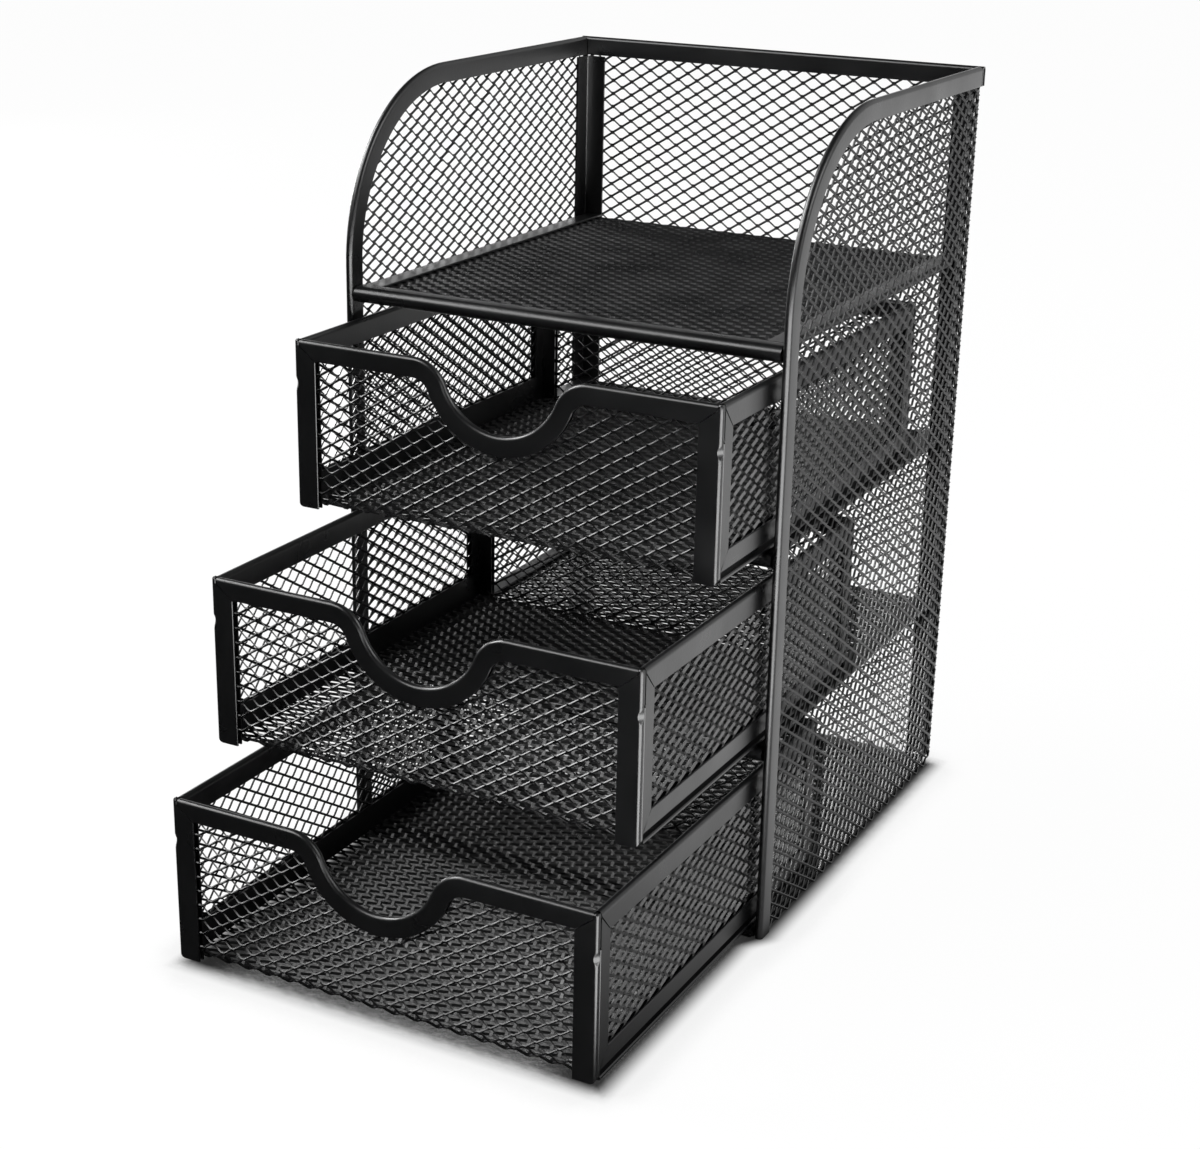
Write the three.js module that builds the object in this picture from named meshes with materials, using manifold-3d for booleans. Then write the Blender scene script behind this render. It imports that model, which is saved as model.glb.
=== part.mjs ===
import * as THREE from "three";
import { mergeVertices } from "three/addons/utils/BufferGeometryUtils.js";
import Module from "manifold-3d";

// A small desk organizer in black coated steel mesh: an open tray on top and three
// drawers below it. Every sheet is expanded metal whose edges sit in folded strips.
// Millimetres, +Z up, the drawers open towards -Y. The origin is on the table, in the
// middle of the floor that the case and the open drawers cover together.

const wasm = await Module();
wasm.setup();

// Case
const caseWidth = 130;
const caseDepth = 134;
const caseHeight = 217;
const sweepRadius = 49; // the side panels' top front corners
const rimWidth = 5.5;
const postLeg = 6.5;
const postThickness = 0.6;

// Sheet metal: a strip is folded round the edge of a sheet and clamps it
const sheetThickness = 0.6;
const foldWall = 0.5;
const fitGap = 0.3;

// Shelves
const shelfPitch = 53.4;
const shelfStripWidth = 6;
const nosingHeight = 4.2;
const nosingDepth = 5;

// Drawers
const drawerLift = 0.3; // running gap above the shelf strips
const drawerSideGap = 1.8;
const drawerBackGap = 1.8; // when closed
const drawerHeadroom = 3.8; // under the nosing above
const legWidth = 6.3; // corner legs and side strips
const topStripWidth = 5.2;
const bottomStripWidth = 5;
const beadHeight = 1;
const recessHeight = 1.8;
const recessDepth = 0.9;
const bendRadius = 4;
const cornerBead = 1.1;
const drawerOpenings = { top: 29.4, middle: 67.7, bottom: 87.2 }; // as the photograph shows

// Finger notch in the drawer fronts
const notchDepth = 18;
const notchRadius = 15;
const shoulderRadius = 6;

// Coarse lattice that stands for the fine mesh: diamonds between flat strands
const diamondWidth = 44;
const diamondHeight = 26;
const strandWidth = 4;
const leastHoleShare = 0.045; // smaller scraps of an opening stay closed
const latticeMargin = 1; // openings run this far under the strips
const plainMargin = 3; // closed edge of a sheet that no strip covers

// Modelling
const overrun = 5;
const mergeTolerance = 1e-5;
const arcSteps = 12;
const beadSteps = 4;

const foldThickness = sheetThickness + 2 * (foldWall + fitGap);
const sheetInset = foldWall + fitGap;
const drawerWidth = caseWidth - 2 * (foldThickness + drawerSideGap);
const drawerDepth = caseDepth - foldThickness - drawerBackGap;
const drawerHeight = shelfPitch - nosingHeight - drawerHeadroom - drawerLift;
const halfCase = caseWidth / 2;
const caseFront = -caseDepth / 2;
const caseBack = caseDepth / 2;
const halfDrawer = drawerWidth / 2;
const mitreGap = fitGap * Math.SQRT1_2;
const cornerFoot = foldThickness;

const coating = {
  sheet: new THREE.MeshStandardMaterial({ color: 0x17181a, roughness: 0.42, metalness: 0.35 }),
  strip: new THREE.MeshStandardMaterial({ color: 0x101113, roughness: 0.3, metalness: 0.4 }),
};

// Solids

// A panel's own plane: u and v lie in it, w is its thickness
const planeAxes = {
  front: [new THREE.Vector3(1, 0, 0), new THREE.Vector3(0, 0, 1), new THREE.Vector3(0, -1, 0)],
  side: [new THREE.Vector3(0, 1, 0), new THREE.Vector3(0, 0, 1), new THREE.Vector3(1, 0, 0)],
  flat: [new THREE.Vector3(1, 0, 0), new THREE.Vector3(0, 1, 0), new THREE.Vector3(0, 0, 1)],
};

function toSolid(geometry) {
  geometry.deleteAttribute("normal");
  geometry.deleteAttribute("uv");
  const merged = mergeVertices(geometry, mergeTolerance);
  return new wasm.Manifold(
    new wasm.Mesh({
      numProp: 3,
      vertProperties: merged.attributes.position.array,
      triVerts: new Uint32Array(merged.index.array),
    }),
  );
}

function toGeometry(solid) {
  const mesh = solid.getMesh();
  const geometry = new THREE.BufferGeometry();
  geometry.setAttribute("position", new THREE.BufferAttribute(mesh.vertProperties, 3));
  geometry.setIndex(new THREE.BufferAttribute(mesh.triVerts, 1));
  geometry.computeVertexNormals();
  return geometry;
}

// One or more outlines in a plane, as plates from w = low to w = high
function plates(plane, outlines, [low, high]) {
  const shapes = outlines.map(
    (points) => new THREE.Shape(points.map(([u, v]) => new THREE.Vector2(u, v))),
  );
  const geometry = new THREE.ExtrudeGeometry(shapes, { depth: high - low, bevelEnabled: false });
  geometry.translate(0, 0, plane === "front" ? -high : low);
  geometry.applyMatrix4(new THREE.Matrix4().makeBasis(...planeAxes[plane]));
  return toSolid(geometry);
}

function plate(plane, outline, span) {
  return plates(plane, [outline], span);
}

function rectangle(u0, v0, u1, v1) {
  return [[u0, v0], [u1, v0], [u1, v1], [u0, v1]];
}

function arc(centreU, centreV, radius, fromDegrees, toDegrees, steps = arcSteps) {
  const points = [];
  for (let i = 0; i <= steps; i += 1) {
    const angle = THREE.MathUtils.degToRad(fromDegrees + ((toDegrees - fromDegrees) * i) / steps);
    points.push([centreU + radius * Math.cos(angle), centreV + radius * Math.sin(angle)]);
  }
  return points;
}

// Where the strip, its slot and the sheet in the slot lie, from the strip's lower face
function layersFrom(low) {
  return {
    strip: [low, low + foldThickness],
    slot: [low + foldWall, low + foldThickness - foldWall],
    sheet: [low + sheetInset, low + foldThickness - sheetInset],
  };
}

// One side of a frame of folded strips round a sheet. The ends are mitred where the
// neighbouring strip has a width, and square where it has none.
function frameStrip(plane, frame, side, layers) {
  const { u0, v0, u1, v1, widths } = frame;
  const { left, right, top, bottom } = widths;
  const trim = (width) => (width > 0 ? mitreGap : 0);
  const inner = { u0: u0 + left, v0: v0 + bottom, u1: u1 - right, v1: v1 - top };
  const bands = {
    top: [
      [u0 + trim(left), v1],
      [inner.u0 + trim(left), inner.v1],
      [inner.u1 - trim(right), inner.v1],
      [u1 - trim(right), v1],
    ],
    bottom: [
      [u0 + trim(left), v0],
      [u1 - trim(right), v0],
      [inner.u1 - trim(right), inner.v0],
      [inner.u0 + trim(left), inner.v0],
    ],
    left: [
      [u0, v0 + trim(bottom)],
      [inner.u0, inner.v0 + trim(bottom)],
      [inner.u0, inner.v1 - trim(top)],
      [u0, v1 - trim(top)],
    ],
    right: [
      [u1, v0 + trim(bottom)],
      [u1, v1 - trim(top)],
      [inner.u1, inner.v1 - trim(top)],
      [inner.u1, inner.v0 + trim(bottom)],
    ],
  };
  const slots = {
    top: rectangle(u0 - overrun, inner.v1 - overrun, u1 + overrun, v1 - foldWall),
    bottom: rectangle(u0 - overrun, v0 + foldWall, u1 + overrun, inner.v0 + overrun),
    left: rectangle(u0 + foldWall, v0 - overrun, inner.u0 + overrun, v1 + overrun),
    right: rectangle(inner.u1 - overrun, v0 - overrun, u1 - foldWall, v1 + overrun),
  };
  return plate(plane, bands[side], layers.strip).subtract(plate(plane, slots[side], layers.slot));
}

// Lattice openings, cut to a convex window

function cutToWindow(points, window) {
  let result = points;
  for (let i = 0; i < window.length; i += 1) {
    const [au, av] = window[i];
    const [bu, bv] = window[(i + 1) % window.length];
    const side = ([u, v]) => (bu - au) * (v - av) - (bv - av) * (u - au);
    const kept = [];
    for (let k = 0; k < result.length; k += 1) {
      const here = result[k];
      const next = result[(k + 1) % result.length];
      const s = side(here);
      const t = side(next);
      if (s >= 0) kept.push(here);
      if (s * t < 0) {
        const share = s / (s - t);
        kept.push([here[0] + (next[0] - here[0]) * share, here[1] + (next[1] - here[1]) * share]);
      }
    }
    result = kept;
  }
  return result;
}

function areaOf(points) {
  return Math.abs(THREE.ShapeUtils.area(points.map(([u, v]) => new THREE.Vector2(u, v))));
}

// Diamonds in staggered rows about the window's middle, as outlines to cut out
function diamonds(window) {
  const us = window.map(([u]) => u);
  const vs = window.map(([, v]) => v);
  const middle = [(Math.min(...us) + Math.max(...us)) / 2, (Math.min(...vs) + Math.max(...vs)) / 2];
  const columns = Math.ceil((Math.max(...us) - middle[0]) / diamondWidth) + 1;
  const rows = Math.ceil((Math.max(...vs) - middle[1]) / (diamondHeight / 2)) + 1;
  const reach = (diamondWidth * diamondHeight) / 4 / Math.hypot(diamondWidth / 2, diamondHeight / 2);
  const openShare = 1 - strandWidth / 2 / reach;
  const leastArea = (leastHoleShare * diamondWidth * diamondHeight) / 2;
  const holes = [];
  for (let row = -rows; row <= rows; row += 1) {
    for (let column = -columns; column <= columns; column += 1) {
      const u = middle[0] + (column + (row % 2 ? 0.5 : 0)) * diamondWidth;
      const v = middle[1] + (row * diamondHeight) / 2;
      const a = (diamondWidth / 2) * openShare;
      const b = (diamondHeight / 2) * openShare;
      const hole = cutToWindow([[u + a, v], [u, v + b], [u - a, v], [u, v - b]], window);
      if (hole.length > 2 && areaOf(hole) > leastArea) holes.push(hole);
    }
  }
  return holes;
}

function latticeSheet(plane, outline, window, span) {
  const cut = [span[0] - overrun, span[1] + overrun];
  return plate(plane, outline, span).subtract(plates(plane, diamonds(window), cut));
}

// Named pieces

function addPiece(group, name, solid, material) {
  const mesh = new THREE.Mesh(toGeometry(solid), material);
  mesh.name = name;
  group.add(mesh);
}

// The same piece on the other side of the middle plane
function addMirrored(group, name, solid, material) {
  const geometry = toGeometry(solid);
  const { position } = geometry.attributes;
  for (let i = 0; i < position.count; i += 1) position.setX(i, -position.getX(i));
  const index = geometry.getIndex();
  for (let i = 0; i < index.count; i += 3) {
    const second = index.getX(i + 1);
    index.setX(i + 1, index.getX(i + 2));
    index.setX(i + 2, second);
  }
  geometry.computeVertexNormals();
  const mesh = new THREE.Mesh(geometry, material);
  mesh.name = name;
  group.add(mesh);
}

function addPair(group, name, solid, material) {
  addPiece(group, `right_${name}`, solid, material);
  addMirrored(group, `left_${name}`, solid, material);
}

// Case panels: outline of a side panel, seen from the side, inset from its edge

function sweptEdge(inset) {
  const radius = sweepRadius - inset;
  return arc(caseFront + sweepRadius, caseHeight - sweepRadius, radius, 180, 90);
}

function sideRim() {
  const end = caseBack - foldThickness - fitGap;
  const band = [
    [caseFront, 0],
    ...sweptEdge(0),
    [end, caseHeight],
    [end, caseHeight - rimWidth],
    ...sweptEdge(rimWidth).reverse(),
    [caseFront + rimWidth, 0],
  ];
  const slot = [
    [caseFront + foldWall, -overrun],
    ...sweptEdge(foldWall),
    [end + overrun, caseHeight - foldWall],
    [end + overrun, caseHeight - rimWidth - overrun],
    ...sweptEdge(rimWidth + overrun).reverse(),
    [caseFront + rimWidth + overrun, -overrun],
  ];
  const layers = layersFrom(halfCase - foldThickness);
  return plate("side", counterClockwise(band), layers.strip).subtract(
    plate("side", counterClockwise(slot), layers.slot),
  );
}

function counterClockwise(points) {
  const area = THREE.ShapeUtils.area(points.map(([u, v]) => new THREE.Vector2(u, v)));
  return area < 0 ? [...points].reverse() : points;
}

function sidePanel() {
  const sheetBack = caseBack - foldThickness - fitGap;
  const outline = counterClockwise([
    [caseFront + sheetInset, 0],
    ...sweptEdge(sheetInset),
    [sheetBack, caseHeight - sheetInset],
    [sheetBack, 0],
  ]);
  const windowInset = rimWidth - latticeMargin;
  const window = counterClockwise([
    [caseFront + windowInset, windowInset],
    ...sweptEdge(windowInset),
    [sheetBack - windowInset, caseHeight - windowInset],
    [sheetBack - windowInset, windowInset],
  ]);
  return latticeSheet("side", outline, window, layersFrom(halfCase - foldThickness).sheet);
}

function backPanel() {
  const layers = layersFrom(caseBack - foldThickness);
  const half = halfCase - sheetInset;
  const outline = rectangle(-half, 0, half, caseHeight - sheetInset);
  const inset = rimWidth - latticeMargin;
  const window = rectangle(-half + inset, inset, half - inset, caseHeight - inset);
  return latticeSheet("front", outline, window, layers.sheet);
}

function backRim() {
  const frame = {
    u0: -halfCase, v0: 0, u1: halfCase, v1: caseHeight,
    widths: { left: 0, right: 0, top: rimWidth, bottom: 0 },
  };
  return frameStrip("front", frame, "top", layersFrom(caseBack - foldThickness));
}

// Angle inside a back corner, behind the side sheet and in front of the back sheet
const postOuter = halfCase - foldThickness + foldWall;
const postBack = caseBack - foldThickness + foldWall;

function cornerPost() {
  const outline = [
    [postOuter, postBack - postLeg],
    [postOuter, postBack],
    [postOuter - postLeg, postBack],
    [postOuter - postLeg, postBack - postThickness],
    [postOuter - postThickness, postBack - postThickness],
    [postOuter - postThickness, postBack - postLeg],
  ];
  return plate("flat", outline, [0, caseHeight - rimWidth - fitGap]);
}

// Shelves: a sheet in three folded strips and a rolled nosing along the front

const halfShelf = postOuter - postThickness - fitGap;
const shelfBack = postBack - postThickness - fitGap;

function shelfFrame() {
  return {
    u0: -halfShelf, v0: caseFront + nosingDepth + fitGap, u1: halfShelf, v1: shelfBack,
    widths: { left: shelfStripWidth, right: shelfStripWidth, top: 0, bottom: 0 },
  };
}

function shelfSheet(top) {
  const { sheet } = layersFrom(top - foldThickness);
  const half = halfShelf - sheetInset;
  const outline = rectangle(-half, caseFront + nosingDepth - foldWall, half, shelfBack);
  const halfWindow = halfShelf - shelfStripWidth + latticeMargin;
  const front = caseFront + nosingDepth + latticeMargin;
  return latticeSheet("flat", outline, rectangle(-halfWindow, front, halfWindow, shelfBack - plainMargin), sheet);
}

// Half-round front edge with a slot at its back for the sheet
function nosing(top, height) {
  const layers = layersFrom(top - foldThickness);
  const radius = height / 2;
  const back = caseFront + nosingDepth;
  const outline = counterClockwise([
    ...arc(caseFront + radius, top - radius, radius, 90, 270),
    [back, top - height],
    [back, top],
  ]);
  const slot = rectangle(back - foldWall - 2 * fitGap, layers.slot[0], back + overrun, layers.slot[1]);
  const span = [-halfShelf, halfShelf];
  return plate("side", outline, span).subtract(plate("side", slot, [-halfShelf - overrun, halfShelf + overrun]));
}

// The case's floor is one welded piece: a sheet in a flat frame that runs round it
function baseFloor() {
  const { strip, sheet } = layersFrom(0);
  const side = halfShelf - shelfStripWidth;
  const front = caseFront + nosingDepth;
  const back = shelfBack - shelfStripWidth;
  const recess = rectangle(-side, front, side, back);
  return plate("flat", rectangle(-halfShelf, caseFront, halfShelf, shelfBack), strip)
    .subtract(plate("flat", recess, [sheet[1], strip[1] + overrun]))
    .subtract(plate("flat", recess, [strip[0] - overrun, sheet[0]]));
}

const shelfNames = ["lower_shelf", "upper_shelf", "top_tray"];

function addShelf(group, index) {
  const name = shelfNames[index];
  const top = foldThickness + (index + 1) * shelfPitch;
  const layers = layersFrom(top - foldThickness);
  addPiece(group, `${name}_mesh`, shelfSheet(top), coating.sheet);
  addPiece(group, `${name}_nosing`, nosing(top, nosingHeight), coating.strip);
  addPiece(group, `${name}_right_strip`, frameStrip("flat", shelfFrame(), "right", layers), coating.strip);
  addPiece(group, `${name}_left_strip`, frameStrip("flat", shelfFrame(), "left", layers), coating.strip);
}

function buildCase() {
  const group = new THREE.Group();
  addPair(group, "side_mesh", sidePanel(), coating.sheet);
  addPair(group, "rim_strip", sideRim(), coating.strip);
  addPair(group, "corner_post", cornerPost(), coating.strip);
  addPiece(group, "back_mesh", backPanel(), coating.sheet);
  addPiece(group, "back_rim_strip", backRim(), coating.strip);
  addPiece(group, "base_floor", baseFloor(), coating.strip);
  for (let index = 0; index < shelfNames.length; index += 1) addShelf(group, index);
  return group;
}

// Drawers, each in its own frame: the front face is y = 0, the bottom is z = 0

// The top edge of a drawer front with its finger notch, moved down by an inset
function notchEdge(inset) {
  const span = shoulderRadius + notchRadius;
  const rise = notchDepth - span;
  const shoulder = Math.sqrt(span * span - rise * rise);
  const tilt = THREE.MathUtils.radToDeg(Math.atan2(-rise, shoulder));
  const shoulderV = drawerHeight - shoulderRadius;
  const bottomV = drawerHeight - notchDepth + notchRadius;
  const shoulderR = shoulderRadius - inset;
  return [
    ...arc(-shoulder, shoulderV, shoulderR, 90, tilt, beadSteps + 2),
    ...arc(0, bottomV, notchRadius + inset, 180 + tilt, 360 - tilt),
    ...arc(shoulder, shoulderV, shoulderR, 180 - tilt, 90, beadSteps + 2),
  ];
}

// All that lies above the notched edge moved down by an inset
function aboveEdge(inset) {
  return counterClockwise([
    [-halfDrawer - overrun, drawerHeight - inset],
    ...notchEdge(inset),
    [halfDrawer + overrun, drawerHeight - inset],
    [halfDrawer + overrun, drawerHeight + overrun],
    [-halfDrawer - overrun, drawerHeight + overrun],
  ]);
}

const drawerLayers = {
  front: layersFrom(0),
  back: layersFrom(drawerDepth - foldThickness),
  side: layersFrom(halfDrawer - foldThickness),
};

function frontStrip() {
  const band = [
    [-halfDrawer + mitreGap, drawerHeight],
    ...notchEdge(0),
    [halfDrawer - mitreGap, drawerHeight],
    [halfDrawer - legWidth - mitreGap, drawerHeight - topStripWidth],
    ...notchEdge(topStripWidth).reverse(),
    [-halfDrawer + legWidth + mitreGap, drawerHeight - topStripWidth],
  ];
  const slotEdge = notchEdge(foldWall);
  const below = notchEdge(topStripWidth + foldWall).map(([u, v]) => [u, v]);
  const slot = [
    [-halfDrawer - overrun, drawerHeight - foldWall],
    ...slotEdge,
    [halfDrawer + overrun, drawerHeight - foldWall],
    [halfDrawer + overrun, drawerHeight - topStripWidth - foldWall],
    ...below.reverse(),
    [-halfDrawer - overrun, drawerHeight - topStripWidth - foldWall],
  ];
  const { strip, slot: slotSpan } = drawerLayers.front;
  return plate("front", counterClockwise(band), strip).subtract(
    plate("front", counterClockwise(slot), slotSpan),
  );
}

const sideFrame = {
  u0: 0, v0: 0, u1: drawerDepth, v1: drawerHeight,
  widths: { left: legWidth, right: legWidth, top: legWidth, bottom: 0 },
};
const backFrame = {
  u0: -halfDrawer, v0: 0, u1: halfDrawer, v1: drawerHeight,
  widths: { left: legWidth, right: legWidth, top: topStripWidth, bottom: 0 },
};

function sideTopStrip() {
  const strip = frameStrip("side", sideFrame, "top", drawerLayers.side);
  const ends = [
    rectangle(-overrun, 0, foldThickness + fitGap, drawerHeight + overrun),
    rectangle(drawerDepth - foldThickness - fitGap, 0, drawerDepth + overrun, drawerHeight + overrun),
  ];
  return strip.subtract(plates("side", ends, [halfDrawer - foldThickness - overrun, halfDrawer + overrun]));
}

const stripFoot = beadHeight + recessHeight;
const bottomStripTop = stripFoot + bottomStripWidth;

// Folded strip along the foot of a side, with a recess and a bead below it
function sideBottomStrip() {
  const start = cornerFoot + fitGap;
  const inner = legWidth + mitreGap;
  const outline = [
    [start, 0],
    [drawerDepth - start, 0],
    [drawerDepth - start, stripFoot],
    [drawerDepth - inner, bottomStripTop],
    [inner, bottomStripTop],
    [start, stripFoot],
  ];
  const { strip, slot } = drawerLayers.side;
  const slotOutline = rectangle(-overrun, stripFoot + foldWall, drawerDepth + overrun, bottomStripTop + overrun);
  const recess = rectangle(-overrun, beadHeight, drawerDepth + overrun, stripFoot);
  return plate("side", outline, strip)
    .subtract(plate("side", slotOutline, slot))
    .subtract(plate("side", recess, [halfDrawer - recessDepth, halfDrawer + overrun]));
}

// Angle at a front or back corner: a leg on each sheet, mitred to the strips
function cornerAngle(layers, sheetSide, stripWidth) {
  const outward = sheetSide === "front" ? -1 : 1;
  const face = sheetSide === "front" ? layers.strip[0] : layers.strip[1];
  const from = (distance) => face - outward * distance;
  const top = drawerHeight;
  const faceLeg = [
    [halfDrawer, 0],
    [halfDrawer, top - mitreGap],
    [halfDrawer - legWidth, top - stripWidth - mitreGap],
    [halfDrawer - legWidth, 0],
  ];
  const sideLeg = [
    [from(0), 0],
    [from(cornerFoot), 0],
    [from(cornerFoot), stripFoot],
    [from(legWidth), bottomStripTop],
    [from(legWidth), top - legWidth - mitreGap],
    [from(0), top - mitreGap],
  ];
  const faceSlot = rectangle(halfDrawer - legWidth - overrun, -overrun, halfDrawer - foldThickness, top);
  const sideSlotSpan = [from(foldThickness), from(legWidth + overrun)].sort((a, b) => a - b);
  const sideSlot = rectangle(sideSlotSpan[0], stripFoot + foldWall, sideSlotSpan[1], top);
  const reliefSpan = [from(foldWall), from(foldThickness + overrun)].sort((a, b) => a - b);
  const relief = rectangle(halfDrawer - legWidth - overrun, -overrun, halfDrawer - foldThickness, bendRadius + overrun);
  const capSpan = [from(-overrun), from(foldThickness + fitGap)].sort((a, b) => a - b);
  const cap = [
    [halfDrawer + overrun, top + overrun],
    [halfDrawer + overrun, top - mitreGap],
    [halfDrawer, top - mitreGap],
    [halfDrawer - legWidth, top - stripWidth - mitreGap],
    [halfDrawer - legWidth - overrun, top - stripWidth - mitreGap],
    [halfDrawer - legWidth - overrun, top + overrun],
  ];
  const roundCorner = [
    [halfDrawer + overrun, from(-overrun)],
    [halfDrawer + overrun, from(cornerBead)],
    ...arc(halfDrawer - cornerBead, from(cornerBead), cornerBead, 0, outward * 90, beadSteps),
    [halfDrawer - cornerBead, from(-overrun)],
  ];
  return plate("front", counterClockwise(faceLeg), layers.strip)
    .add(plate("side", counterClockwise(sideLeg), drawerLayers.side.strip))
    .subtract(plate("front", faceSlot, layers.slot))
    .subtract(plate("side", sideSlot, drawerLayers.side.slot))
    .subtract(plate("front", relief, reliefSpan))
    .subtract(plate("front", counterClockwise(cap), capSpan))
    .subtract(plate("flat", counterClockwise(roundCorner), [-overrun, top + overrun]));
}

function backTopStrip() {
  return frameStrip("front", backFrame, "top", drawerLayers.back);
}

function sideSheet() {
  const ends = foldThickness + fitGap;
  const outline = rectangle(ends, stripFoot + sheetInset, drawerDepth - ends, drawerHeight - sheetInset);
  const inset = legWidth - latticeMargin;
  const window = rectangle(inset, bottomStripTop - latticeMargin, drawerDepth - inset, drawerHeight - inset);
  return latticeSheet("side", outline, window, drawerLayers.side.sheet);
}

// One sheet bent into the drawer's front, floor and back
function sling() {
  const halfSheet = halfDrawer - foldThickness - fitGap;
  const front = drawerLayers.front.sheet[0];
  const back = drawerLayers.back.sheet[1];
  const floor = fitGap;
  const top = drawerHeight - sheetInset;
  const innerRadius = bendRadius - sheetThickness;
  const profile = counterClockwise([
    [front, top],
    ...arc(front + bendRadius, floor + bendRadius, bendRadius, 180, 270, beadSteps),
    ...arc(back - bendRadius, floor + bendRadius, bendRadius, 270, 360, beadSteps),
    [back, top],
    [back - sheetThickness, top],
    ...arc(back - bendRadius, floor + bendRadius, innerRadius, 360, 270, beadSteps),
    ...arc(front + bendRadius, floor + bendRadius, innerRadius, 270, 180, beadSteps),
    [front + sheetThickness, top],
  ]);
  const inset = legWidth - latticeMargin;
  const window = rectangle(
    -halfDrawer + inset,
    floor + bendRadius,
    halfDrawer - inset,
    drawerHeight - topStripWidth + latticeMargin,
  );
  const halfFloor = halfSheet - plainMargin;
  const floorWindow = rectangle(
    -halfFloor,
    front + bendRadius + plainMargin,
    halfFloor,
    back - bendRadius - plainMargin,
  );
  const frontCut = [front - overrun, front + bendRadius];
  const backCut = [back - bendRadius, back + overrun];
  const underStrip = plate("front", aboveEdge(topStripWidth - latticeMargin), frontCut);
  return plate("side", profile, [-halfSheet, halfSheet])
    .subtract(plate("front", aboveEdge(sheetInset), frontCut))
    .subtract(plates("front", diamonds(window), frontCut).subtract(underStrip))
    .subtract(plates("front", diamonds(window), backCut))
    .subtract(plates("flat", diamonds(floorWindow), [floor - overrun, floor + bendRadius]));
}

function buildDrawer(name, shelfIndex) {
  const group = new THREE.Group();
  const { sheet, strip } = coating;
  const own = new THREE.Group();
  addPiece(own, "body_mesh", sling(), sheet);
  addPair(own, "side_mesh", sideSheet(), sheet);
  addPiece(own, "front_strip", frontStrip(), strip);
  addPair(own, "front_corner", cornerAngle(drawerLayers.front, "front", topStripWidth), strip);
  addPair(own, "back_corner", cornerAngle(drawerLayers.back, "back", topStripWidth), strip);
  addPiece(own, "back_strip", backTopStrip(), strip);
  addPair(own, "top_strip", sideTopStrip(), strip);
  addPair(own, "bottom_strip", sideBottomStrip(), strip);
  for (const mesh of own.children) mesh.name = `${name}_drawer_${mesh.name}`;
  own.position.y = caseFront - drawerOpenings[name];
  own.position.z = foldThickness + shelfIndex * shelfPitch + drawerLift;
  group.add(own);
  return group;
}

const organizer = new THREE.Group();
organizer.add(buildCase());
organizer.add(buildDrawer("bottom", 0));
organizer.add(buildDrawer("middle", 1));
organizer.add(buildDrawer("top", 2));
organizer.position.y = Math.max(...Object.values(drawerOpenings)) / 2;

export default organizer;
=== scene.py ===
import math

import bmesh
import bpy
from mathutils import Matrix, Vector


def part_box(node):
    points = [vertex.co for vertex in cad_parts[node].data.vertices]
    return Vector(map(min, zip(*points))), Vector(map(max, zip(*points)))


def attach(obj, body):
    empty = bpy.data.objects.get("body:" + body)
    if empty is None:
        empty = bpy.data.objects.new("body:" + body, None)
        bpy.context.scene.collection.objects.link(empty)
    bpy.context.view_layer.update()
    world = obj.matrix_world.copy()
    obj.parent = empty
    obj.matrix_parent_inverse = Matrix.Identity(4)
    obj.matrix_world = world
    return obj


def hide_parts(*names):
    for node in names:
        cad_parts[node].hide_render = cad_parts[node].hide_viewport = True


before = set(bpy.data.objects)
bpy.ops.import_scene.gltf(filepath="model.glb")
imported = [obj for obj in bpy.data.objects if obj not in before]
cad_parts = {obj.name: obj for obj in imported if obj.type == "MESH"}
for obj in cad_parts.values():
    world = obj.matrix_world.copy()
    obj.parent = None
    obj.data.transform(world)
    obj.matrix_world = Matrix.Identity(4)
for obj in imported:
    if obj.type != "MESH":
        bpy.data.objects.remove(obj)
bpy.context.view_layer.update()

# Everything below is worked out in millimetres from the case's own centre,
# with the case's front face at y = -67, and moved into the shared frame at the end.
caseMiddle = 43.6
toFrame = Matrix.Scale(0.001, 4) @ Matrix.Translation((0.0, caseMiddle, 0.0))


def spanOf(node):
    # lowest and highest corner of a CAD node, in the case's millimetres
    low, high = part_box(node)
    shift = Vector((0.0, caseMiddle, 0.0))
    return low * 1000.0 - shift, high * 1000.0 - shift


coatLook = {
    "colour": (0.0028, 0.0029, 0.0032, 1.0),
    "palerColour": (0.0042, 0.0043, 0.0047, 1.0),
    "roughness": (0.26, 0.36),
    "specular": 0.5,
    "refraction": 1.5,
    "patchSize": 60.0,        # paler, rougher patches
    "patchDetail": 3.0,
    "patchRange": (0.3, 0.7),
    "peelSize": 1400.0,       # orange peel in the powder coat, per metre
    "peelDetail": 2.0,
    "peelHeight": 0.05,
    "peelDistance": 0.0004,
    "grainSize": 5200.0,
    "grainHeight": 0.03,
    "grainDistance": 0.0002,
}
meshRoughness = (0.25, 0.34)


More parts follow.
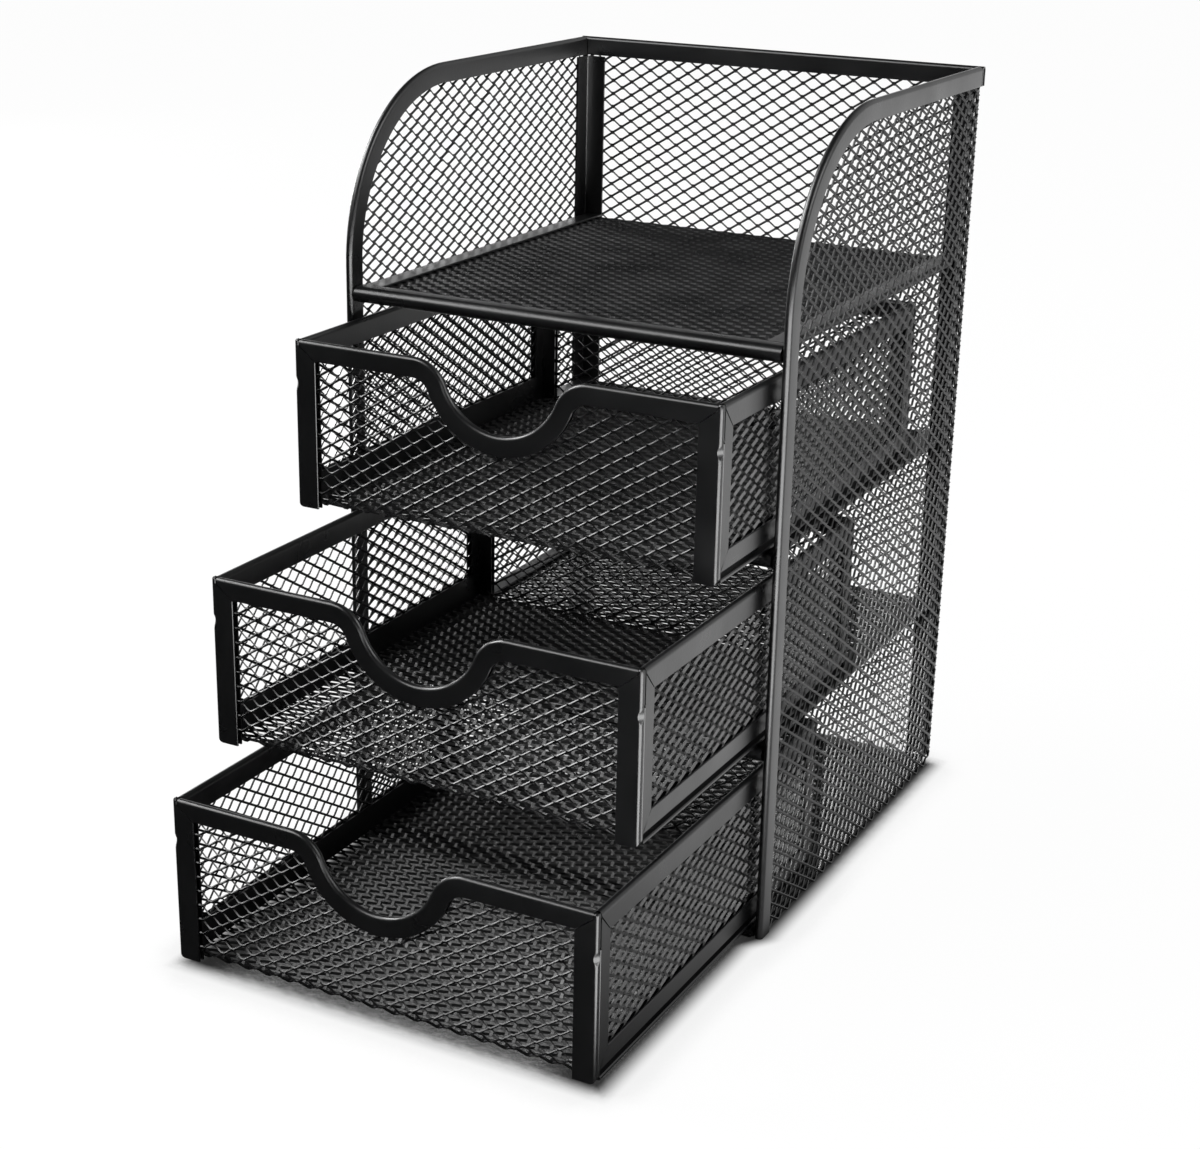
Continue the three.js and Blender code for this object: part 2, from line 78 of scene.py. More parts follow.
def coatMaterial(name, look):
    material = bpy.data.materials.new(name)
    material.use_nodes = True
    nodes = material.node_tree.nodes
    links = material.node_tree.links
    shader = nodes["Principled BSDF"]
    shader.inputs["Specular IOR Level"].default_value = look["specular"]
    shader.inputs["IOR"].default_value = look["refraction"]
    place = nodes.new("ShaderNodeTexCoord")

    patches = nodes.new("ShaderNodeTexNoise")
    patches.inputs["Scale"].default_value = look["patchSize"]
    patches.inputs["Detail"].default_value = look["patchDetail"]
    links.new(place.outputs["Object"], patches.inputs["Vector"])

    colour = nodes.new("ShaderNodeMix")
    colour.data_type = "RGBA"
    colour.inputs["A"].default_value = look["colour"]
    colour.inputs["B"].default_value = look["palerColour"]
    links.new(patches.outputs["Fac"], colour.inputs["Factor"])
    links.new(colour.outputs["Result"], shader.inputs["Base Color"])

    gloss = nodes.new("ShaderNodeMapRange")
    gloss.inputs["From Min"].default_value = look["patchRange"][0]
    gloss.inputs["From Max"].default_value = look["patchRange"][1]
    gloss.inputs["To Min"].default_value = look["roughness"][0]
    gloss.inputs["To Max"].default_value = look["roughness"][1]
    links.new(patches.outputs["Fac"], gloss.inputs["Value"])
    links.new(gloss.outputs["Result"], shader.inputs["Roughness"])

    peel = nodes.new("ShaderNodeTexNoise")
    peel.inputs["Scale"].default_value = look["peelSize"]
    peel.inputs["Detail"].default_value = look["peelDetail"]
    links.new(place.outputs["Object"], peel.inputs["Vector"])
    grain = nodes.new("ShaderNodeTexVoronoi")
    grain.feature = "SMOOTH_F1"
    grain.inputs["Scale"].default_value = look["grainSize"]
    links.new(place.outputs["Object"], grain.inputs["Vector"])

    peelBump = nodes.new("ShaderNodeBump")
    peelBump.inputs["Strength"].default_value = look["peelHeight"]
    peelBump.inputs["Distance"].default_value = look["peelDistance"]
    links.new(peel.outputs["Fac"], peelBump.inputs["Height"])
    grainBump = nodes.new("ShaderNodeBump")
    grainBump.inputs["Strength"].default_value = look["grainHeight"]
    grainBump.inputs["Distance"].default_value = look["grainDistance"]
    links.new(grain.outputs["Distance"], grainBump.inputs["Height"])
    links.new(peelBump.outputs["Normal"], grainBump.inputs["Normal"])
    links.new(grainBump.outputs["Normal"], shader.inputs["Normal"])
    return material


stripCoat = coatMaterial("stripPowderCoat", coatLook)
meshCoat = coatMaterial("meshPowderCoat", {**coatLook, "roughness": meshRoughness})
print("materials made")


cutTolerance = 0.0005


def wholeOf(bm):
    return bm.verts[:] + bm.edges[:] + bm.faces[:]


def vertsIn(geometry):
    return [item for item in geometry if isinstance(item, bmesh.types.BMVert)]


def ringOf(bm, points):
    verts = [bm.verts.new(point) for point in points]
    edges = [bm.edges.new((verts[i], verts[(i + 1) % len(verts)])) for i in range(len(verts))]
    return verts, edges


def closeOpenings(bm):
    rims = [edge for edge in bm.edges if edge.is_boundary]
    if rims:
        bmesh.ops.holes_fill(bm, edges=rims, sides=0)


def cutAway(bm, point, normal):
    # everything on the side that the normal points to goes
    bmesh.ops.bisect_plane(
        bm, geom=wholeOf(bm), dist=cutTolerance, plane_co=point, plane_no=normal,
        clear_outer=True)


def mirrored(bm):
    bmesh.ops.scale(bm, vec=(-1.0, 1.0, 1.0), verts=bm.verts)


def finishPiece(bm, node, body, material, smoothBelow=35.0):
    # the finished piece takes the place of the CAD node
    name = node + "_look"
    bmesh.ops.recalc_face_normals(bm, faces=bm.faces)
    bmesh.ops.transform(bm, matrix=toFrame, verts=bm.verts)
    mesh = bpy.data.meshes.new(name)
    bm.to_mesh(mesh)
    bm.free()
    mesh.materials.append(material)
    mesh.shade_smooth()
    mesh.set_sharp_from_angle(angle=math.radians(smoothBelow))
    piece = bpy.data.objects.new(name, mesh)
    bpy.context.scene.collection.objects.link(piece)
    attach(piece, body)
    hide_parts(node)
    return piece


def finishStrip(bm, node, body, place=Matrix(), mirror=False):
    # the open ends are closed before the strip goes to its place
    closeOpenings(bm)
    bmesh.ops.transform(bm, matrix=place, verts=bm.verts)
    if mirror:
        mirrored(bm)
    return finishPiece(bm, node, body, stripCoat)


def addCopy(bm, part):
    # moves the part's faces into bm
    held = bpy.data.meshes.new("held")
    part.to_mesh(held)
    part.free()
    bm.from_mesh(held)
    bpy.data.meshes.remove(held)


# The planes that the flat parts lie in: local x and y in the plane, local z outwards
def frontPlane(y):
    return Matrix(((1, 0, 0, 0), (0, 0, -1, y), (0, 1, 0, 0), (0, 0, 0, 1)))


def rightPlane(x):
    return Matrix(((0, 0, 1, x), (1, 0, 0, 0), (0, 1, 0, 0), (0, 0, 0, 1)))


def backPlane(y):
    return Matrix(((-1, 0, 0, 0), (0, 0, 1, y), (0, 1, 0, 0), (0, 0, 0, 1)))


def floorPlane(z):
    return Matrix(((1, 0, 0, 0), (0, -1, 0, 0), (0, 0, -1, z), (0, 0, 0, 1)))


def levelPlane(z):
    return Matrix(((1, 0, 0, 0), (0, 1, 0, 0), (0, 0, 1, z), (0, 0, 0, 1)))


expandedMetal = {
    "longWay": 6.35,          # one diamond, along the rows
    "rowPitch": 2.0,          # two rows make one diamond
    "strandWidth": 0.67,
    "strandThickness": 0.34,
    "knuckle": 0.85,
    "lean": 42.0,             # degrees that the strands lean out of the sheet
    "smoothBelow": 20.0,
    "joinWithin": 0.01,
}


def latticeSheet(x0, x1, y0, y1, faces):
    # zigzag rows joined at their knuckles, still without thickness;
    # faces is 1 where the strands' outer faces look up, -1 where they look down
    sheet = expandedMetal
    period = sheet["longWay"]
    pitch = sheet["rowPitch"]
    lean = math.radians(sheet["lean"]) * faces
    across = Vector((0.0, math.cos(lean), -math.sin(lean))) * sheet["strandWidth"]
    low = Vector((0.0, -pitch / 2, 0.0))
    high = Vector((0.0, pitch / 2, 0.0))
    stations = [0.0, sheet["knuckle"], period / 2, period / 2 + sheet["knuckle"], period]

    bm = bmesh.new()
    bmesh.ops.create_grid(bm, x_segments=4, y_segments=1, size=1.0)
    for vert in bm.verts:
        column = round((vert.co.x + 1.0) * 2.0)
        upper = vert.co.y > 0.0
        bottom = low if column in (0, 1, 4) else high - across
        vert.co = bottom + Vector((stations[column], 0.0, 0.0)) + (across if upper else Vector())
    firstPeriod = wholeOf(bm)
    count = math.ceil((x1 - x0) / period) + 2
    for step in range(1, count):
        copy = bmesh.ops.duplicate(bm, geom=firstPeriod)["geom"]
        bmesh.ops.translate(bm, vec=(step * period, 0.0, 0.0), verts=vertsIn(copy))
    firstRow = wholeOf(bm)
    rows = math.ceil((y1 - y0) / pitch) + 2
    for row in range(1, rows):
        copy = bmesh.ops.duplicate(bm, geom=firstRow)["geom"]
        shift = -period / 2 if row % 2 else 0.0
        bmesh.ops.translate(bm, vec=(shift, row * pitch, 0.0), verts=vertsIn(copy))
    middle = (x0 + x1) / 2
    start = middle - round(count / 2) * period - sheet["knuckle"] / 2
    bmesh.ops.translate(bm, vec=(start, y0 - pitch / 2, 0.0), verts=bm.verts)
    bmesh.ops.remove_doubles(bm, verts=bm.verts, dist=sheet["joinWithin"])
    for point, normal in (((x0, 0, 0), (-1, 0, 0)), ((x1, 0, 0), (1, 0, 0)),
                          ((0, y0, 0), (0, -1, 0)), ((0, y1, 0), (0, 1, 0))):
        cutAway(bm, point, normal)
    return bm


def thicken(bm):
    bmesh.ops.recalc_face_normals(bm, faces=bm.faces)
    bmesh.ops.solidify(bm, geom=bm.faces[:], thickness=expandedMetal["strandThickness"])


def meshPanel(node, place, x0, x1, y0, y1, body, faces, mirror=False, trim=None):
    bm = latticeSheet(x0, x1, y0, y1, faces)
    if trim:
        trim(bm)
    thicken(bm)
    bmesh.ops.transform(bm, matrix=place, verts=bm.verts)
    if mirror:
        mirrored(bm)
    return finishPiece(bm, node, body, meshCoat, expandedMetal["smoothBelow"])


foldedStrip = {
    "thickness": 2.2,
    "wall": 0.5,
    "lip": 0.14,
    "foldSteps": 6,
    "foldRound": 1.06,
    "slotCorner": 0.3,
}
stripMiddle = foldedStrip["thickness"] / 2


def foldedSection(width, thickness=foldedStrip["thickness"]):
    # section of a strip folded over a sheet: distance in from the folded edge, height
    half = thickness / 2
    inner = half - foldedStrip["wall"]
    lip = foldedStrip["lip"]
    steps = foldedStrip["foldSteps"]
    bend = foldedStrip["foldRound"]
    corner = foldedStrip["slotCorner"]
    section = [(width, half - lip), (width - lip, half)]
    for side in (1, -1):
        for step in range(steps + 1):
            turn = math.radians(90 * step / steps if side > 0 else 90 - 90 * step / steps)
            height = half - bend + bend * math.cos(turn)
            section.append((bend - bend * math.sin(turn), side * height))
    section += [
        (width - lip, -half), (width, lip - half), (width, -inner), (half - corner, -inner),
        (half - 2 * corner, corner - inner), (half - 2 * corner, inner - corner),
        (half - corner, inner), (width, inner),
    ]
    return section


def sweep(bm, section, start, heading, moves):
    # draws a section along lines and arcs in the local plane; the strip lies to the right
    angle = math.radians(heading)
    ahead = Vector((math.cos(angle), math.sin(angle), 0.0))
    inwards = Vector((math.sin(angle), -math.cos(angle), 0.0))
    here = Vector((start[0], start[1], 0.0))
    verts, loop = ringOf(bm, [here + inwards * s + Vector((0, 0, n)) for s, n in section])
    for move in moves:
        if move[0] == "line":
            verts = vertsIn(bmesh.ops.extrude_edge_only(bm, edges=loop)["geom"])
            bmesh.ops.translate(bm, vec=ahead * move[1], verts=verts)
            here = here + ahead * move[1]
        else:
            # an arc: radius of the folded edge, then degrees, right turns are positive
            radius, turn, steps = move[1:]
            side = 1.0 if turn > 0 else -1.0
            centre = here + inwards * radius * side
            spun = bmesh.ops.spin(
                bm, geom=verts + loop, cent=centre, axis=(0, 0, 1),
                angle=-math.radians(turn), steps=steps, use_merge=False, use_duplicate=False)
            verts = vertsIn(spun["geom_last"])
            rotation = Matrix.Rotation(-math.radians(turn), 3, "Z")
            here = centre + rotation @ (here - centre)
            ahead = rotation @ ahead
            inwards = rotation @ inwards
        ends = set(verts)
        loop = [edge for edge in bm.edges if edge.verts[0] in ends and edge.verts[1] in ends]
    return bm


caseShape = {
    "front": -67.0,
    "back": 67.0,
    "halfWidth": 65.0,
    "height": 217.0,
    "sweepRadius": 49.0,
    "rimWidth": 5.5,
    "topEnd": 64.5,
    "sweepSteps": 30,
    "sweepCuts": 12,
    "panelInset": 1.4,        # from the rim's outer edge to the sheet's edge
    "sideEnd": 65.6,
    "backHalfWidth": 64.0,
}


sheetEdge = {
    "foot": 0.26,             # the strands' cut ends stay clear of the ground
    "selvedge": 0.9,          # plain edge along the foot and the end of a sheet
    "selvedgeGap": 0.01,
    "footBevel": 3.2,         # the sheets' lower back corners are cut off
    "bevelSlope": 0.8,
    "creaseFrom": (16.0, 214.0),
    "creaseTo": (-38.0, 176.0),
    "creaseWidth": 4.0,
    "creaseDepth": 0.55,
    "creaseFades": (12.0, 22.0),
}


def addSelvedge(bm, x0, x1, y0, y1):
    made = bmesh.ops.create_grid(bm, x_segments=1, y_segments=1, size=0.5)["verts"]
    bmesh.ops.scale(bm, vec=(x1 - x0, y1 - y0, 1.0), verts=made)
    bmesh.ops.translate(bm, vec=((x0 + x1) / 2, (y0 + y1) / 2, 0.0), verts=made)


def crease(bm):
    # the soft kink that runs down across the left side
    start, end = (Vector(sheetEdge[key]) for key in ("creaseFrom", "creaseTo"))
    along = (end - start).normalized()
    length = (end - start).length
    fadeIn, fadeOut = sheetEdge["creaseFades"]
    for vert in bm.verts:
        offset = vert.co.xy - start
        run = offset.dot(along)
        away = offset.cross(along) / sheetEdge["creaseWidth"]
        fade = max(0.0, min(1.0, run / fadeIn, (length - run) / fadeOut))
        vert.co.z += sheetEdge["creaseDepth"] * fade * away * math.exp(0.5 - away * away)


def sideMesh(node, mirror):
    shape = caseShape
    inset = shape["panelInset"]
    radius = shape["sweepRadius"] - inset
    centre = (shape["front"] + shape["sweepRadius"], shape["height"] - shape["sweepRadius"])
    end = shape["sideEnd"]
    foot = sheetEdge["foot"]
    edge = sheetEdge["selvedge"]
    top = shape["height"] - inset

    def trim(bm):
        for step in range(1, shape["sweepCuts"]):
            turn = math.radians(90 + 90 * step / shape["sweepCuts"])
            normal = Vector((math.cos(turn), math.sin(turn), 0.0))
            cutAway(bm, Vector((*centre, 0.0)) + normal * radius, normal)
        addSelvedge(bm, shape["front"] + inset, end, foot, foot + edge)
        addSelvedge(bm, end - edge, end, foot + edge + sheetEdge["selvedgeGap"], top)
        bevel = Vector((1.0, -sheetEdge["bevelSlope"], 0.0))
        cutAway(bm, (end, foot + sheetEdge["footBevel"], 0.0), bevel)
        if mirror:
            crease(bm)

    place = rightPlane(shape["halfWidth"] - stripMiddle)
    return meshPanel(
        node, place, shape["front"] + inset, end, foot, top, "case", -1, mirror, trim)


def sideRim(node, mirror):
    shape = caseShape
    bm = bmesh.new()
    straight = shape["height"] - shape["sweepRadius"]
    sweep(bm, foldedSection(shape["rimWidth"]), (shape["front"], 0.0), 90.0, [
        ("line", straight),
        ("arc", shape["sweepRadius"], 90.0, shape["sweepSteps"]),
        ("line", shape["topEnd"] - shape["front"] - shape["sweepRadius"]),
    ])
    return finishStrip(bm, node, "case", rightPlane(shape["halfWidth"] - stripMiddle), mirror)


def backRim():
    shape = caseShape
    bm = bmesh.new()
    start = (-shape["halfWidth"], shape["height"])
    sweep(bm, foldedSection(shape["rimWidth"]), start, 0.0, [("line", 2 * shape["halfWidth"])])
    return finishStrip(bm, "back_rim_strip", "case", backPlane(shape["back"] - stripMiddle))


postShape = {
    "wall": 0.6,
    "bend": 1.0,
    "outerSteps": 4,
    "innerSteps": 3,
}


def cornerPost(node, mirror):
    low, high = spanOf("right_corner_post")
    wall = postShape["wall"]
    bend = postShape["bend"]
    outline = [(low.x, high.y), (high.x - bend, high.y)]

    def addBend(radius, turn):
        across, along = radius * math.cos(turn), radius * math.sin(turn)
        outline.append((high.x - bend + across, high.y - bend + along))

    for step in range(1, postShape["outerSteps"]):
        addBend(bend, math.radians(90 - 90 * step / postShape["outerSteps"]))
    outline += [
        (high.x, high.y - bend), (high.x, low.y), (high.x - wall, low.y),
        (high.x - wall, high.y - bend),
    ]
    for step in range(1, postShape["innerSteps"]):
        addBend(bend - wall, math.radians(90 * step / postShape["innerSteps"]))
    outline += [(high.x - bend, high.y - wall), (low.x, high.y - wall)]
    bm = bmesh.new()
    foot = bm.faces.new([bm.verts.new((x, y, low.z)) for x, y in outline])
    out = bmesh.ops.extrude_face_region(bm, geom=[foot])["geom"]
    bmesh.ops.translate(bm, vec=(0, 0, high.z - low.z), verts=vertsIn(out))
    level = low.z + sheetEdge["footBevel"]
    slope = sheetEdge["bevelSlope"]
    cutAway(bm, (0.0, high.y, level), Vector((0.0, 1.0, -slope)))
    cutAway(bm, (high.x, 0.0, level), Vector((1.0, 0.0, -slope)))
    return finishStrip(bm, node, "case", mirror=mirror)


for side, mirror in (("right", False), ("left", True)):
    sideMesh(side + "_side_mesh", mirror)
    sideRim(side + "_rim_strip", mirror)
    cornerPost(side + "_corner_post", mirror)


def backMesh():
    edge, foot = sheetEdge["selvedge"], sheetEdge["foot"]
    reach = caseShape["backHalfWidth"]
    top = caseShape["height"] - caseShape["panelInset"]

    def trim(bm):
        addSelvedge(bm, -reach, reach, foot, foot + edge)
        for side in (1.0, -1.0):
            outer, inner = side * reach, side * (reach - edge)
            start = foot + edge + sheetEdge["selvedgeGap"]
            addSelvedge(bm, min(outer, inner), max(outer, inner), start, top)
            bevel = Vector((side, -sheetEdge["bevelSlope"], 0.0))
            cutAway(bm, (outer, foot + sheetEdge["footBevel"], 0.0), bevel)

    place = backPlane(caseShape["back"] - stripMiddle)
    return meshPanel("back_mesh", place, -reach, reach, foot, top, "case", 1, False, trim)


backMesh()
backRim()
print("case walls made")


shelfShape = {
    "names": ("lower_shelf", "upper_shelf", "top_tray"),
    "pitch": 53.4,
    "foot": 2.2,
    "halfWidth": 62.4,
    "stripWidth": 6.0,
    "back": 64.4,
    "nosingHeight": 4.2,
    "nosingDepth": 5.0,
    "edgeSteps": 10,
    "slotSpan": (1.7, 0.5),   # the nosing's slot for the sheet, below its top
    "slotDepth": 1.0,
    "stripFront": -61.7,
    "meshHalfWidth": 61.0,
    "meshBack": 64.0,
    "meshFront": 62.5,
    "floorMeshFront": 66.0,
    "floorMeshLevel": 1.2,
    "floorThickness": 2.1,
}


def shelfNosing(name, top):
    shape = shelfShape
    radius = shape["nosingHeight"] / 2
    front = caseShape["front"]
    outline = []
    for step in range(shape["edgeSteps"] + 1):
        turn = math.radians(90 + 180 * step / shape["edgeSteps"])
        across, along = radius * math.cos(turn), radius * math.sin(turn)
        outline.append((front + radius + across, top - radius + along))
    back = front + shape["nosingDepth"]
    slotEnd = back - shape["slotDepth"]
    slotFoot, slotTop = (top - depth for depth in shape["slotSpan"])
    outline += [
        (back, top - 2 * radius), (back, slotFoot), (slotEnd, slotFoot), (slotEnd, slotTop),
        (back, slotTop), (back, top),
    ]
    bm = bmesh.new()
    end = bm.faces.new([bm.verts.new((-shape["halfWidth"], y, z)) for y, z in outline])
    out = bmesh.ops.extrude_face_region(bm, geom=[end])["geom"]
    bmesh.ops.translate(bm, vec=(2 * shape["halfWidth"], 0, 0), verts=vertsIn(out))
    return finishPiece(bm, name + "_nosing", "case", stripCoat)


def shelfSideStrip(bm, top, front):
    shape = shelfShape
    strip = bmesh.new()
    start = (shape["halfWidth"], shape["back"])
    length = shape["back"] - front
    sweep(strip, foldedSection(shape["stripWidth"]), start, -90.0, [("line", length)])
    closeOpenings(strip)
    bmesh.ops.transform(strip, matrix=levelPlane(top - stripMiddle), verts=strip.verts)
    addCopy(bm, strip)


def floorCrossStrip(bm, edge, heading):
    shape = shelfShape
    reach = shape["halfWidth"]
    section = foldedSection(shape["stripWidth"], shape["floorThickness"])
    strip = bmesh.new()
    sweep(strip, section, (reach if heading else -reach, edge), heading, [("line", 2 * reach)])
    closeOpenings(strip)
    bmesh.ops.transform(strip, matrix=levelPlane(stripMiddle), verts=strip.verts)
    addCopy(bm, strip)


def baseFloor():
    # the case's floor: a sheet in a flat frame, one welded piece
    shape = shelfShape
    front, reach = caseShape["front"], shape["meshHalfWidth"]
    bm = latticeSheet(-reach, reach, -shape["meshBack"], shape["floorMeshFront"], -1)
    thicken(bm)
    bmesh.ops.transform(bm, matrix=floorPlane(shape["floorMeshLevel"]), verts=bm.verts)
    shelfSideStrip(bm, shape["foot"], front)
    mirrored(bm)
    shelfSideStrip(bm, shape["foot"], front)
    floorCrossStrip(bm, front, 180.0)
    floorCrossStrip(bm, shape["back"], 0.0)
    return finishPiece(bm, "base_floor", "case", stripCoat)


for index, name in enumerate(shelfShape["names"]):
    top = shelfShape["foot"] + (index + 1) * shelfShape["pitch"]
    shelfNosing(name, top)
    for side, mirror in (("right", False), ("left", True)):
        bm = bmesh.new()
        shelfSideStrip(bm, top, shelfShape["stripFront"])
        finishStrip(bm, name + "_" + side + "_strip", "case", mirror=mirror)
    reach = shelfShape["meshHalfWidth"]
    meshPanel(
        name + "_mesh", floorPlane(top - stripMiddle), -reach, reach,
        -shelfShape["meshBack"], shelfShape["meshFront"], "case", -1)

baseFloor()
print("shelves made")


drawerShape = {
    "names": ("bottom", "middle", "top"),
    "halfWidth": 61.0,
    "depth": 130.0,
    "height": 45.1,
    "legWidth": 6.3,
    "topStrip": 5.2,
    "stripFoot": 2.8,
    "bottomStripTop": 7.8,
    "bead": 1.0,
    "beadRound": 0.25,
    "recessDepth": 1.65,      # deep enough to lie in its own shade
    "recessEdge": 0.2,
    "slotEnd": 0.6,
    "cornerFoot": 2.3,
    "footGap": 2.5,
    "mitreGap": 0.2,
    "endGap": 1.4,
    "sideEndGap": 1.95,
    "mitreTop": 1.2,
    "notchDepth": 16.9,
    "notchRadius": 17.0,
    "notchSteps": 30,
    "shoulderRadius": 10.0,
    "shoulderSteps": 14,
    "sideSheetAt": 59.9,
    "sideSheetGap": 2.0,
    "sideSheetSpan": (3.6, 44.0),
}


def notchLevel(x, inset):
    # height of the notched top edge at x, moved inwards by an inset
    shape = drawerShape
    top = shape["height"]
    bottomCentre = top - shape["notchDepth"] + shape["notchRadius"]
    span = shape["shoulderRadius"] + shape["notchRadius"]
    rise = shape["notchDepth"] - span
    shoulder = math.sqrt(span * span - rise * rise)
    x = abs(x)
    touch = shoulder * (shape["notchRadius"] + inset) / span
    if x >= shoulder:
        return top - inset
    if x < touch:
        reach = shape["notchRadius"] + inset
        return bottomCentre - math.sqrt(max(reach * reach - x * x, 0.0))
    reach = shape["shoulderRadius"] - inset
    away = shoulder - x
    centre = top - shape["shoulderRadius"]
    return centre + math.sqrt(max(reach * reach - away * away, 0.0))


def mitreEnds(bm):
    # both ends of a front or back strip: upright beside the corner's bead, then mitred
    shape = drawerShape
    reach = shape["halfWidth"] - shape["endGap"]
    rise = shape["height"] - shape["mitreTop"]
    run = Vector((shape["legWidth"] - shape["endGap"], shape["topStrip"] - shape["mitreTop"]))
    for side in (1.0, -1.0):
        cutAway(bm, (side * reach, 0.0, 0.0), Vector((side, 0.0, 0.0)))
        cutAway(bm, (side * reach, rise, 0.0), Vector((side * run.y, -run.x, 0.0)))


def frontStrip(node, body, lift, front):
    shape = drawerShape
    span = shape["shoulderRadius"] + shape["notchRadius"]
    rise = shape["notchDepth"] - span
    shoulder = math.sqrt(span * span - rise * rise)
    turn = 90.0 - math.degrees(math.atan2(-rise, shoulder))
    bm = bmesh.new()
    halfWidth = shape["halfWidth"]
    sweep(bm, foldedSection(shape["topStrip"]), (-halfWidth, shape["height"]), 0.0, [
        ("line", halfWidth - shoulder),
        ("arc", shape["shoulderRadius"], turn, shape["shoulderSteps"]),
        ("arc", shape["notchRadius"], -2 * turn, shape["notchSteps"]),
        ("arc", shape["shoulderRadius"], turn, shape["shoulderSteps"]),
        ("line", halfWidth - shoulder),
    ])
    mitreEnds(bm)
    place = Matrix.Translation((0, 0, lift)) @ frontPlane(front + stripMiddle)
    return finishStrip(bm, node, body, place)


def backStrip(node, body, lift, back):
    shape = drawerShape
    bm = bmesh.new()
    start = (-shape["halfWidth"], shape["height"])
    sweep(bm, foldedSection(shape["topStrip"]), start, 0.0, [("line", 2 * shape["halfWidth"])])
    mitreEnds(bm)
    place = Matrix.Translation((0, 0, lift)) @ backPlane(back - stripMiddle)
    return finishStrip(bm, node, body, place)


def sideTopStrip(node, body, lift, front, mirror):
    shape = drawerShape
    bm = bmesh.new()
    depth = shape["depth"]
    sweep(bm, foldedSection(shape["legWidth"]), (0.0, shape["height"]), 0.0, [("line", depth)])
    level = shape["height"] - shape["mitreTop"]
    reach = shape["sideEndGap"]
    run = Vector((shape["legWidth"] - reach, shape["legWidth"] - shape["mitreTop"]))
    for end, side in ((0.0, -1.0), (depth, 1.0)):
        cutAway(bm, (end - side * reach, 0, 0), Vector((side, 0, 0)))
        cutAway(bm, (end - side * reach, level, 0.0), Vector((side * run.y, -run.x, 0)))
    place = Matrix.Translation((0, front, lift)) @ rightPlane(shape["halfWidth"] - stripMiddle)
    return finishStrip(bm, node, body, place, mirror)


def sideBottomStrip(node, body, lift, front, mirror):
    shape = drawerShape
    top = shape["bottomStripTop"]
    foot = shape["stripFoot"]
    bead = shape["bead"]
    curve = shape["beadRound"]
    edge = shape["recessEdge"]
    deep = -shape["recessDepth"]
    lip, wall = foldedStrip["lip"], foldedStrip["wall"]
    back = -foldedStrip["thickness"]
    slotEnd = foot + shape["slotEnd"]
    section = [
        (top, -lip), (top - lip, 0.0), (foot + edge, 0.0), (foot, -edge), (foot, deep),
        (bead, deep), (bead, -curve), (bead - curve, 0.0), (curve, 0.0), (0.0, -curve),
        (0.0, back), (top, back), (top, back + wall), (slotEnd, back + wall),
        (slotEnd, -wall), (top, -wall),
    ]
    depth = shape["depth"]
    bm = bmesh.new()
    # heading backwards along y, the strip's height runs upwards from the foot
    sweep(bm, section, (depth, 0.0), 180.0, [("line", depth)])
    leg = shape["legWidth"]
    gap = shape["mitreGap"]
    cutAway(bm, (depth - leg - gap, top, 0), Vector((1, 1, 0)))
    cutAway(bm, (leg + gap, top, 0), Vector((-1, 1, 0)))
    cutAway(bm, (shape["footGap"], 0, 0), Vector((-1, 0, 0)))
    cutAway(bm, (depth - shape["footGap"], 0, 0), Vector((1, 0, 0)))
    place = Matrix.Translation((0, front, lift)) @ rightPlane(shape["halfWidth"])
    return finishStrip(bm, node, body, place, mirror)


cornerDetail = {
    "round": 0.75,            # rounding of the folded edge
    "roundSteps": 4,
    "lip": 0.12,
    "roundMargin": 0.1,
    "skin": 0.45,             # the angle's outer wall
    "innerFrom": 1.7,         # its inner wall, with the sheets' slot between the two
    "innerTo": 2.2,
    "slotEnd": 1.9,
    "fullLeg": 2.6,           # shorter legs are drawn thinner
    "creaseAt": 1.45,         # crease on the side face, back from the edge
    "creaseWidth": 0.36,
    "creaseDepth": 0.10,
    "creaseFloorShare": 0.6,
    "creaseGap": 0.05,
    "slitLength": 8.6,
    "slit": {"creaseWidth": 0.62, "creaseDepth": 1.0},
    "holeSize": 1.1,
    "holeRamp": 0.2,
    "hole": {"creaseWidth": 1.0, "creaseDepth": 0.7},
    "pressLength": 4.0,
    "pressDepth": 1.1,
    "pressSteps": 8,
    "pressFullness": 0.6,
    "pressFromShare": 0.6,    # a smaller press keeps the rounded edge
    "topLeg": 1.25,           # what is left of the legs above the mitres
    "topSideLeg": 1.75,
    "mitreTop": 1.4,
    "capHeight": 0.3,
    "capShrink": 0.25,
    "capCentre": (-0.6, 0.9),
    "footRound": 1.8,
    "footCuts": (20.0, 45.0, 70.0),
}


